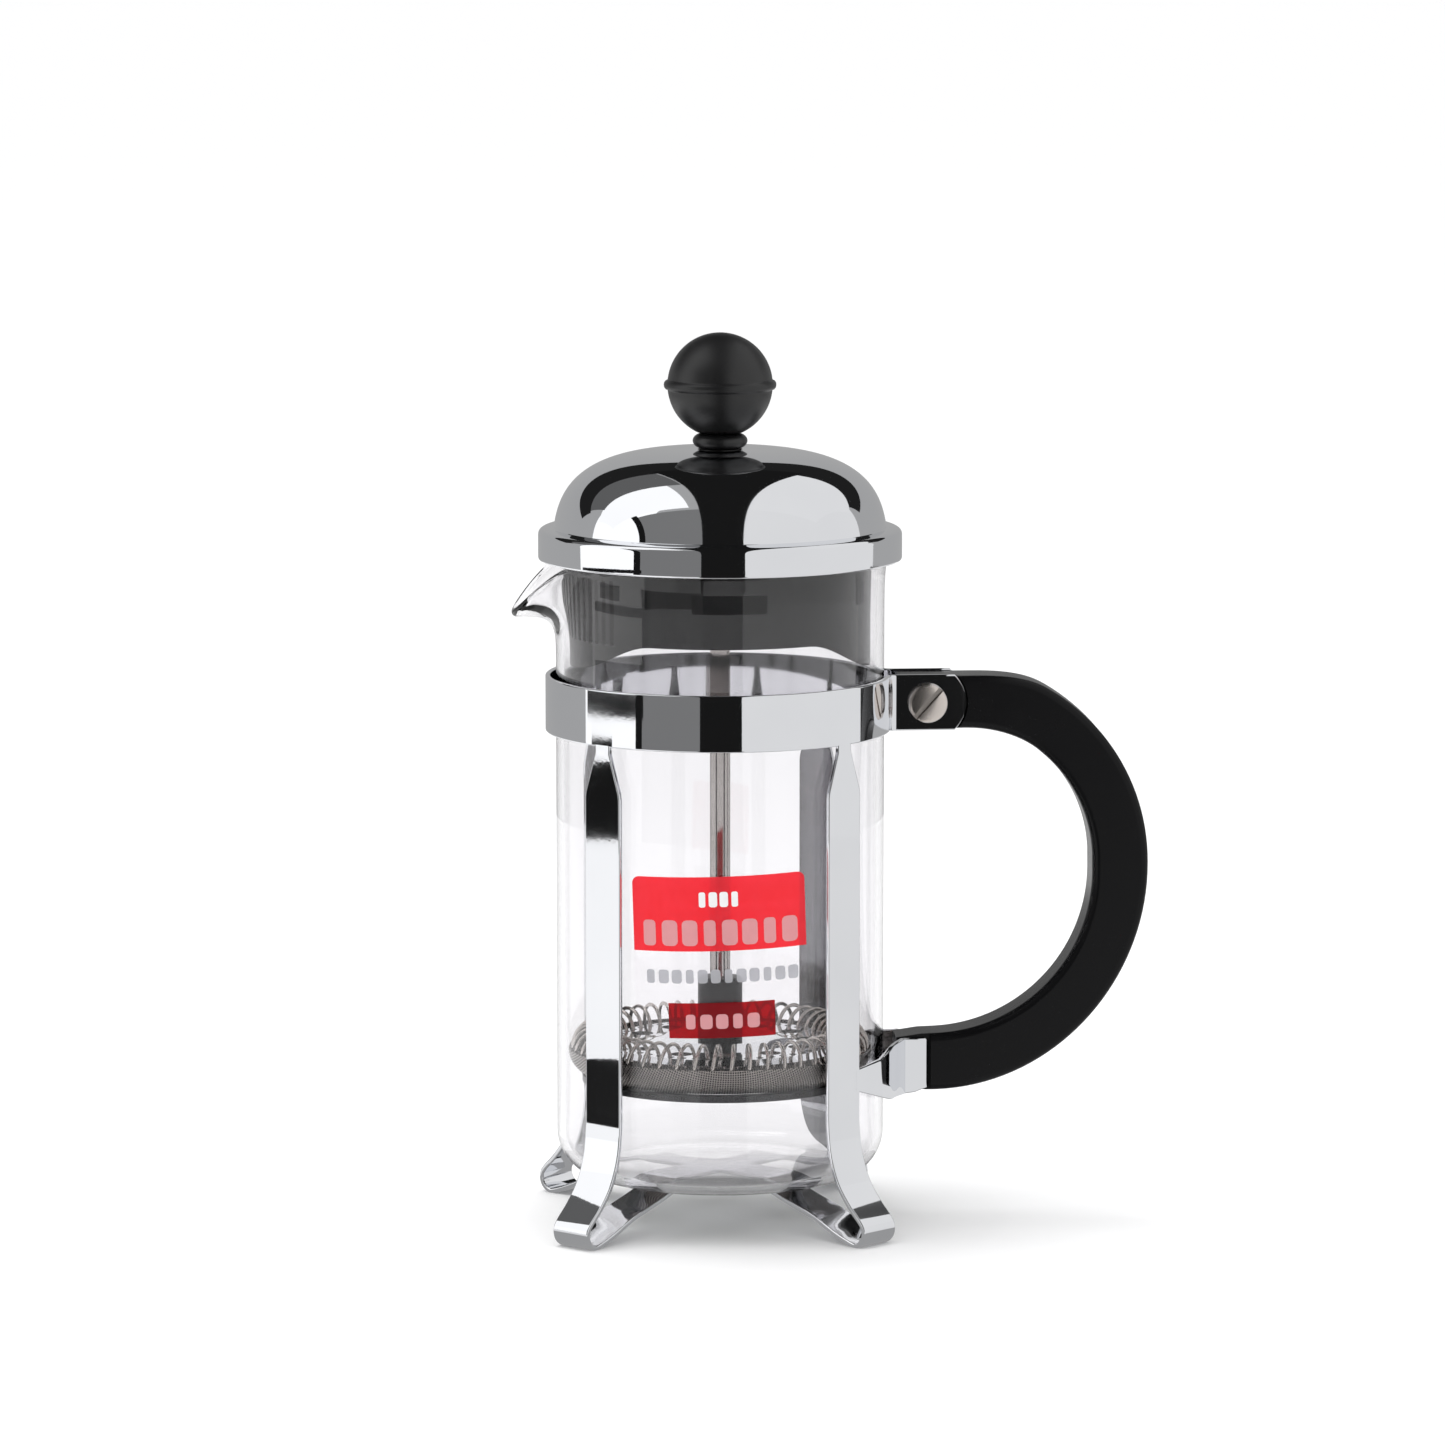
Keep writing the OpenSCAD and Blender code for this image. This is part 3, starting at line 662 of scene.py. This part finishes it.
def bracket(node, side):
    """The arm from a right leg's edge to the plate beside the handle's foot."""
    a = radians(LEG_AZIMUTH[0])
    root = (FRAME_X + STRIP_MID * cos(a) + LEG_W / 2 * sin(a), LEG_W / 2 * cos(a) - STRIP_MID * sin(a))
    overlap = (root[0] - 1.2, root[1] - 1.1)
    bends = [(33.6, -17.2), (36.2, -12.2), (38, -8.4), (40.4, -EAR_Y)]
    plan = [overlap, root] + [tuple(p) for p in smooth_path(bends, 5)]
    end, bend = BRACKET_END - STRIP_T / 2, 0.7
    plan += [(42.6, -EAR_Y)] + arc(end - bend, -EAR_Y + bend, bend, bend, -90, 0, 4) + [(end, -3)]
    low = (
        [root[0], 33.4, 36.6, 40, BRACKET_END - 2.6, BRACKET_END - 0.5],
        [32, 29.6, 27.8, 27.9, 28.3, 29.4],
    )
    high = (
        [root[0], 34, 37, 39.6, BRACKET_END - 1, BRACKET_END - 0.4],
        [37.2, 37.9, 39.6, 40.4, 40.3, 39.8],
    )
    stations = []
    for (x, y), (nx, ny) in zip(plan, plan_normals(plan)):
        z0, z1 = np.interp(x, *low), np.interp(x, *high)
        middle, normal = Vector((x, side * y, (z0 + z1) / 2)), Vector((nx, side * ny, 0))
        stations.append((middle, normal, Vector((0, 0, 1)), STRIP_T / 2, (z1 - z0) / 2))
    verts, faces = sweep(stations)
    piece(node + "_strip", verts, faces, node, CHROME, 40)


# ---- handle ----

HANDLE_REACH = span("handle")[1].x
HANDLE_T = 2 * span("handle")[1].y


def handle_outline():
    """The loop's outline in x and z: over the outside to the foot, and back along the inside."""
    under, top = BAND_Z + 0.3, BAND_TOP - 0.4
    foot = (BRACKET_END - 0.8, 28.6)
    reach, turn_x, turn_z, turn_h = HANDLE_REACH, 49.8, 78.7, 44.9
    arc_start = (turn_x + (reach - turn_x) * cos(radians(60)), turn_z + turn_h * sin(radians(60)))
    return (
        [(39, under), (39, top)]
        + bezier((56, top), (64, top), (68.5, top - 1), arc_start, 14)[:-1]
        + arc(turn_x, turn_z, reach - turn_x, turn_h, 60, 0, 24)
        + bezier((reach, turn_z), (reach + 0.3, 52), (73, 27.8), foot, 36)[1:]
        + [(38.6, 29.6), (38.6, 40.4), (44, 41.2)]
        + arc(46.5, 76.8, 35.3, 35.5, -88, 0, 34)
        + arc(49.5, 79.5, 32.3, 31.6, 3, 50, 18)
        + bezier((70.3, 103.7), (67, 106.6), (61, under), (54, under), 12)[1:]
    )


def handle():
    """The loop with rounded edges, recessed for the ears and for the brackets."""
    edge_r, beyond = 1.7, 9
    verts, faces = slab(handle_outline(), -HANDLE_T / 2, HANDLE_T / 2)
    body = piece("handle_loop", verts, faces)
    bm = bmesh.new()
    bm.from_mesh(body.data)
    rims = [e for e in bm.edges if abs(e.verts[0].co.y - e.verts[1].co.y) < 1e-6]
    bmesh.ops.bevel(bm, geom=rims, offset=edge_r * MM, segments=5, profile=0.5, affect="EDGES",
                    clamp_overlap=False, offset_type="OFFSET")
    bm.to_mesh(body.data)
    bm.free()
    ear_r = EAR_REACH + 0.35 - SCREW_X
    recess = arc(SCREW_X, SCREW_Z, ear_r, ear_r, -80, 80, 40)
    recess += [(30, SCREW_Z + ear_r), (30, SCREW_Z - ear_r)]
    plate = [(30, 20), (BRACKET_END + 0.3, 20), (BRACKET_END + 0.3, 50), (30, 50)]
    cutters = []
    for side in (-1, 1):
        for outline in (recess, plate):
            verts, faces = slab(outline, side * EAR_GAP / 2, side * beyond)
            cutters.append(piece("cutter", verts, faces))
    cut_away(body, cutters)
    stand_for(body, "handle", HANDLE_BLACK)


def screw():
    lo, hi = span("handle_screw")
    head_r, shank_r = (hi.z - lo.z) / 2, 2
    face, top, end = EAR_GAP / 2 + STRIP_T, -lo.y, hi.y
    slot_turn, slot_l, slot_w, slot_deep = radians(48), 12, 1.2, 0.9
    profile = [(0, end), (shank_r - 0.4, end), (shank_r, end - 0.4), (shank_r, -face)]
    profile += [(head_r, -face), (head_r, 0.7 - top), (head_r - 0.2, 0.3 - top)]
    profile += [(head_r - 0.8, -top), (0, -top)]
    steps = 64
    verts = [(SCREW_X + r * cos(a), y, SCREW_Z + r * sin(a)) for a in full_turn(steps) for r, y in profile]
    made = piece("screw_body", verts, ring_faces(steps, len(profile)))
    along = Vector((cos(slot_turn), 0, sin(slot_turn))) * slot_l / 2
    across = Vector((-sin(slot_turn), 0, cos(slot_turn))) * slot_w / 2
    middle = Vector((SCREW_X, 0, SCREW_Z))
    corners = [middle + along * u + across * v for u, v in ((-1, -1), (1, -1), (1, 1), (-1, 1))]
    verts, faces = slab([(p.x, p.z) for p in corners], -top - 1, -top + slot_deep)
    cut_away(made, [piece("cutter", verts, faces)])
    stand_for(made, "handle_screw", NICKEL)


# ---- lid ----

DOME_Z = span("lid_dome")[1].z
BRIM_Z = span("lid_dome")[0].z
BRIM_R = span("lid_dome")[1].y
HUB_R = 4.5  # the collar's tube, which the lid turns on
SKIRT_R, SKIRT_T = 32.9, 1.5
SKIRT_LOW, SKIRT_HIGH = 123.8, 130.5  # the skirt's wavy lower edge
SLOT_COUNT, SLOT_PITCH, SLOT_W = 21, 4.15, 1.2  # the pitch is in degrees
SLOT_Z = (130.2, 144.5)


def dome():
    """The thin pressed shell, outside and inside, with its upright brim."""
    base, wall = BRIM_Z + 7, 0.8
    outside = bezier((36.4, base), (35.4, base + 5.9), (33.3, DOME_Z + 0.3), (HUB_R + 3, DOME_Z), 48)
    inside = bezier((36.4 - wall, base - wall), (34.6, base + 5.3), (32.5, DOME_Z + 0.3 - wall),
                    (HUB_R + 3, DOME_Z - wall), 32)
    profile = [(BRIM_R - wall, BRIM_Z), (BRIM_R - 0.35, BRIM_Z), (BRIM_R - 0.08, BRIM_Z + 0.14),
               (BRIM_R, BRIM_Z + 0.45), (BRIM_R, BRIM_Z + 3)]
    profile += bezier((BRIM_R, BRIM_Z + 5.2), (BRIM_R, BRIM_Z + 6.5), (BRIM_R - 0.9, BRIM_Z + 6.6),
                      (BRIM_R - 1.7, BRIM_Z + 6.75), 10)
    profile += bezier((37.4, BRIM_Z + 6.85), (36.8, BRIM_Z + 6.9), (36.5, base - 0.1), (36.4, base), 4)[:-1]
    profile += outside + [(HUB_R + 0.4, DOME_Z), (HUB_R + 0.4, DOME_Z - wall)] + inside[::-1]
    profile += [(BRIM_R - 1.4, base - wall - 0.3), (BRIM_R - wall, BRIM_Z + 5.4)]
    lathe("lid_dome_shell", profile, "lid_dome", CHROME, 160, 50)


def insert():
    """The moulded plate and hub under the dome, and the skirt with its wavy edge and its slots."""
    hub_z, top, plate_t = 142, RIM_Z + 0.3, 2
    bore, hub_out = HUB_R + 0.08, HUB_R + 2.3
    made = lathe("lid_insert_skirt", rounded([
        (bore, hub_z), (hub_out, hub_z), (hub_out, top), (SKIRT_R - SKIRT_T, top),
        (SKIRT_R - SKIRT_T, SKIRT_LOW), (SKIRT_R, SKIRT_LOW), (SKIRT_R, top, 0.8), (BRIM_R - 1.1, top, 0.4),
        (BRIM_R - 1.1, top + plate_t), (hub_out, top + plate_t), (hub_out, DOME_Z - 1.2),
        (bore, DOME_Z - 1.2)]), steps=192)
    steps, reach = 10, 33.2
    edge = [(lerp(17, reach, k / steps), lerp(SKIRT_HIGH, SKIRT_LOW, 0.5 - 0.5 * cos(pi * k / steps)))
            for k in range(steps + 1)]
    wave = edge + [(reach, 120), (-reach, 120)] + [(-x, z) for x, z in edge[::-1]]
    verts, faces = slab(wave, -50, 50)
    cutters = [piece("cutter", verts, faces)]
    verts, faces = [], []
    for i in range(SLOT_COUNT):
        a = radians(180 + SLOT_PITCH * (i - (SLOT_COUNT - 1) / 2))
        out, side = Vector((cos(a), sin(a), 0)), Vector((-sin(a), cos(a), 0)) * SLOT_W / 2
        corners = [out * r + side * s for r in (SKIRT_R - 4, SKIRT_R + 2) for s in (-1, 1)]
        start = len(verts)
        verts += [(p.x, p.y, z) for z in SLOT_Z for p in corners]
        faces += [tuple(start + v for v in f) for f in (
            (0, 1, 3, 2), (4, 6, 7, 5), (0, 4, 5, 1), (1, 5, 7, 3), (3, 7, 6, 2), (2, 6, 4, 0))]
    cutters.append(piece("cutter", verts, faces))
    cut_away(made, cutters)
    stand_for(made, "lid_insert", LID_BLACK)


def collar():
    """The tube, and the ring that sits on the dome."""
    lo, hi = span("lid_collar")
    bore, seat, top = 2.33, DOME_Z + 0.1, hi.z
    middle_r, middle_z = 3.5, seat + 1.8
    profile = [(bore, lo.z), (HUB_R, lo.z), (HUB_R, seat)]
    profile += arc(middle_r, middle_z, 2.5, middle_z - seat, -90, 0, 10)
    profile += arc(middle_r, middle_z, 2.5, top - middle_z, 0, 90, 12)[1:]
    profile += [(bore, top)]
    lathe("lid_collar_turned", profile, "lid_collar", BLACK, 96)


# ---- plunger ----


def knob():
    """A ball in two halves, with the moulded ring where they meet."""
    r, ring = 11.5, 0.9
    middle_z = span("knob")[1].z - r + 0.1
    low = [(0, -r + 1.1), (4.2, -r + 1.1)] + arc(0, 0, r, r, -64, -6, 20)
    seam = [(r + 0.02, -ring - 0.15), (r + 0.45, -ring + 0.05), (r + 0.72, -ring + 0.4), (r + 0.8, 0),
            (r + 0.72, ring - 0.4), (r + 0.45, ring - 0.05), (r + 0.02, ring + 0.15)]
    high = arc(0, 0, r, r - 0.1, 6.5, 90, 28)
    profile = [(p, middle_z + z) for p, z in low + seam + high]
    lathe("knob_ball", profile, "knob", BLACK, 96, 50)


def rod():
    lo, hi = span("plunger_rod")
    r, edge = (hi.x - lo.x) / 2, 0.4
    profile = [(0, lo.z), (r - edge, lo.z), (r, lo.z + edge), (r, 60), (r, 120), (r, hi.z - edge),
               (r - edge, hi.z), (0, hi.z)]
    lathe("rod_drawn", profile, "plunger_rod", DRAWN, 48)


def sleeve():
    lo, hi = span("rod_sleeve")
    r, bore, edge = (hi.x - lo.x) / 2, 2.3, 0.9
    profile = [(bore, lo.z), (r, lo.z)] + arc(r - edge, hi.z - edge, edge, edge, 0, 90, 5) + [(bore, hi.z)]
    lathe("sleeve_moulded", profile, "rod_sleeve", LID_BLACK, 64)


# ---- filter ----

RING_R = 28  # middle of the coil's ring


def spring():
    """The coil, wound round a ring, as one closed tube of wire."""
    lo, hi = span("spring_coil")
    wire_r = 0.425
    wind_r = (hi.z - lo.z) / 2 - wire_r
    middle_z = (hi.z + lo.z) / 2
    turns, turn_steps, sides = 52, 24, 8
    steps = turns * turn_steps
    verts = []
    for i in range(steps):
        a, b = 2 * pi * i / steps, 2 * pi * i / turn_steps
        r = RING_R + wind_r * cos(b)
        out = Vector((cos(a) * cos(b), sin(a) * cos(b), sin(b)))
        ring = Vector((-sin(a), cos(a), 0)) * (r / turns)
        along = (ring + Vector((-cos(a) * sin(b), -sin(a) * sin(b), cos(b))) * wind_r).normalized()
        u = (out - along * out.dot(along)).normalized()
        v = along.cross(u)
        middle = Vector((r * cos(a), r * sin(a), middle_z + wind_r * sin(b)))
        for k in range(sides):
            t = 2 * pi * k / sides
            verts.append(tuple(middle + (u * cos(t) + v * sin(t)) * wire_r))
    piece("spring_wire_coil", verts, ring_faces(steps, sides), "spring_coil", WIRE, 80)


def mesh_dish():
    """The pressed dish. Its UVs are the flat cloth's millimetres, so that the weave runs true."""
    lo, hi = span("filter_mesh")
    gauge, flat_r = 0.3, (4.2, 12, 20)
    rim = (hi.y - lo.y) / 2 - RING_R
    low = arc(RING_R, hi.z, rim, hi.z - lo.z, -90, 0, 18)
    high = arc(RING_R, hi.z, rim - gauge, hi.z - lo.z - gauge, 0, -90, 18)
    profile = [(r, lo.z) for r in flat_r] + low + high + [(r, lo.z + gauge) for r in flat_r[::-1]]
    cut = [flat_r[0]]
    for a, b in zip(profile, profile[1:]):
        step = hypot(b[0] - a[0], b[1] - a[1])
        cut.append(cut[-1] + (step if len(cut) < len(low) + len(flat_r) else -step))
    steps = 160
    uvs = [(s * cos(a), s * sin(a)) for a in full_turn(steps) for s in cut]
    lathe("filter_mesh_woven", profile, "filter_mesh", WOVEN, steps, 50, uvs)


# ---- assembly ----

beaker()
label()
band()
for name, azimuth in (("front_left", -LEG_AZIMUTH[1]), ("front_right", -LEG_AZIMUTH[0]),
                      ("rear_left", LEG_AZIMUTH[1]), ("rear_right", LEG_AZIMUTH[0])):
    leg("leg_" + name, azimuth)
bracket("handle_bracket_front", 1)
bracket("handle_bracket_rear", -1)
handle()
screw()
dome()
insert()
collar()
knob()
rod()
sleeve()
spring()
mesh_dish()
# The cross plate's near-black steel is a painted reflection.
kept = {"base_cross": CHROME, "handle_nut": NICKEL, "spiral_plate": CHROME, "cross_plate": PAINTED_DARK_REFLECTION_STEEL,
        "knob_insert": DRAWN}
for name, material in kept.items():
    cad = frame["nodes"][name]
    cad.data.materials.clear()
    cad.data.materials.append(material)


# ---- camera ----

CAMERA_PLACE = Vector((-117.9, -1612.7, 334.6))
CAMERA_TURN = -4.2
CAMERA_TILT = 82.1
camera = bpy.data.objects.new("camera", bpy.data.cameras.new("camera"))
bpy.context.scene.collection.objects.link(camera)
camera.location = CAMERA_PLACE * MM + Vector((AXIS_X, 0, 0))
camera.rotation_euler = (radians(CAMERA_TILT), 0, radians(CAMERA_TURN))
camera.data.sensor_width = 36
camera.data.lens = 185.36
camera.data.clip_end = 20
bpy.context.scene.camera = camera


# ---- studio ----

# Panels stand in for what is round a studio table, and their sizes are in metres. Each is seen only
# by the kinds of ray that it is given: straight off a surface, or out through the glass.
MIRRORED = ("glossy",)
THROUGH_GLASS = ("transmission",)


def studio_floor():
    """A wide floor of pale paper. Reflections see table_glow in its place."""
    reach = 9
    material, nodes, links, shader = new_material("floor_paper")
    grain = noise(nodes, links, 300, 3)
    links.new(tint(nodes, links, grain, (0.9, 0.9, 0.905), (0.915, 0.915, 0.92)), shader.inputs["Base Color"])
    shader.inputs["Roughness"].default_value = 0.9
    shader.inputs["Specular IOR Level"].default_value = 0.1
    mesh = bpy.data.meshes.new("floor")
    corners = [(x * reach, y * reach, 0) for x, y in ((-1, -1), (1, -1), (1, 1), (-1, 1))]
    mesh.from_pydata(corners, [], [(0, 1, 2, 3)])
    made = bpy.data.objects.new("floor", mesh)
    bpy.context.scene.collection.objects.link(made)
    mesh.materials.append(material)
    made.visible_glossy = False


def glow_panel(name, verts, faces, level, seen_by):
    """A mesh of even brightness that only the named kinds of ray see."""
    mesh = bpy.data.meshes.new(name)
    mesh.from_pydata(verts, [], faces)
    panel = bpy.data.objects.new(name, mesh)
    bpy.context.scene.collection.objects.link(panel)
    turn = Matrix.Rotation(radians(CAMERA_TURN), 4, "Z")
    panel.matrix_world = Matrix.Translation((AXIS_X, 0, 0)) @ turn
    material = bpy.data.materials.new(name)
    material.use_nodes = True
    nodes, links = material.node_tree.nodes, material.node_tree.links
    nodes.clear()
    glow = nodes.new("ShaderNodeEmission")
    glow.inputs["Strength"].default_value = level
    output = nodes.new("ShaderNodeOutputMaterial")
    links.new(glow.outputs["Emission"], output.inputs["Surface"])
    material.cycles.emission_sampling = "NONE"
    mesh.materials.append(material)
    for ray in ("camera", "diffuse", "glossy", "transmission", "shadow", "volume_scatter"):
        setattr(panel, "visible_" + ray, ray in seen_by)


def table_glow(name, inner, outer, side, level, lift=0.0):
    """What reflections see of the table between two distances from the press axis. side is two
    azimuths in degrees, to the right of the camera, and lift keeps one patch clear of another."""
    steps = 48
    turns = [radians(lerp(*side, i / steps)) for i in range(steps + 1)]
    verts = [(r * sin(a), -r * cos(a), lift) for r in (inner, outer) for a in turns]
    faces = [(i, i + 1, steps + 2 + i, steps + 1 + i) for i in range(steps)]
    glow_panel(name, verts, faces, level, MIRRORED)


def reflector(name, side, rise, level, distance, upright=False, seen_by=MIRRORED + THROUGH_GLASS):
    """A curved panel at a distance from the object's middle. Its angles are degrees from the camera:
    side to the right, and rise up over the top to the back. An upright panel has azimuth and
    elevation instead."""
    columns, rows, middle_z = 24, 24, 0.1
    verts = []
    for i in range(columns + 1):
        s = radians(lerp(*side, i / columns))
        for k in range(rows + 1):
            e = radians(lerp(*rise, k / rows))
            if upright:
                way = (sin(s) * cos(e), -cos(s) * cos(e), sin(e))
            else:
                way = (sin(s), -cos(s) * cos(e), cos(s) * sin(e))
            verts.append((distance * way[0], distance * way[1], middle_z + distance * way[2]))
    glow_panel(name, verts, grid_faces(columns, rows), level, seen_by)


def overhead_light():
    """A wide soft light from above, which gives the shadow under the beaker its depth."""
    light = bpy.data.objects.new("overhead", bpy.data.lights.new("overhead", "AREA"))
    light.data.size = 0.7
    light.data.energy = 7
    light.location = (-0.25, 0.1, 1.3)
    light.rotation_euler = (Vector((0, 0, 0)) - light.location).to_track_quat("-Z", "Y").to_euler()
    light.visible_glossy = False
    bpy.context.scene.collection.objects.link(light)


def studio():
    studio_floor()
    overhead_light()
    world = bpy.data.worlds.new("studio")
    bpy.context.scene.world = world
    world.use_nodes = True
    sky = world.node_tree.nodes["Background"]
    sky.inputs["Color"].default_value = (1, 1, 1, 1)
    sky.inputs["Strength"].default_value = 1.1
    # name, degrees sideways, degrees up, brightness, distance, upright or not, rays that see it
    reflector("room", (-180, 180), (-60, 90), 0.4, 1.6, True, MIRRORED)
    reflector("softbox_right", (15, 112), (-60, 62), 0.8, 1.5, True)
    reflector("softbox_left", (-98, -54), (-60, 60), 1.2, 1.5, True)
    reflector("softbox_over_left", (-72, -17), (60, 108), 1.15, 1.45)
    reflector("softbox_over_right", (14, 62), (56, 131), 0.82, 1.45)
    reflector("dark_middle", (-11.6, 15.4), (-60, 135), 0.01, 1.3, False, MIRRORED)
    reflector("dark_back", (-62, 56), (131, 150), 0.015, 1.4, False, MIRRORED)
    reflector("dim_over_left", (-60, -12), (106, 132), 0.12, 1.42, False, MIRRORED)
    reflector("grey_left", (-51, -11.6), (-60, 56), 0.2, 1.38)
    reflector("dark_slit", (-55, -50.5), (-60, 60), 0.01, 1.35)
    reflector("dark_edge_right", (109, 120), (-60, -6.2), 0.03, 1.35, True)
    reflector("dark_low_left", (-92, -74), (-14, -7.6), 0.01, 1.3, True)
    reflector("dark_left_strip", (-96, -50), (-6.95, -6.08), 0.01, 1.29, True, MIRRORED)
    reflector("dark_inside", (-20, 34), (-14, -2), 0.02, 1.28, True, THROUGH_GLASS)
    # name, inner and outer distance, azimuths, brightness, lift
    # The first, dim disc is a painted shadow: what reflections see of the table under the press.
    table_glow("table_near_painted_shadow", 0.0005, 0.064, (-180, 180), 0.35)
    table_glow("table_far", 0.064, 0.6, (-180, 180), 0.78)
    table_glow("table_bright_left", 0.1, 0.6, (-140, -30), 1.08, 0.0003)
    table_glow("table_dark_front", 0.1, 0.6, (-13, 17), 0.015, 0.0006)
    table_glow("table_dark_left", 0.165, 0.245, (-100, -60), 0.015, 0.0006)


studio()
bpy.context.scene.view_settings.view_transform = "Standard"
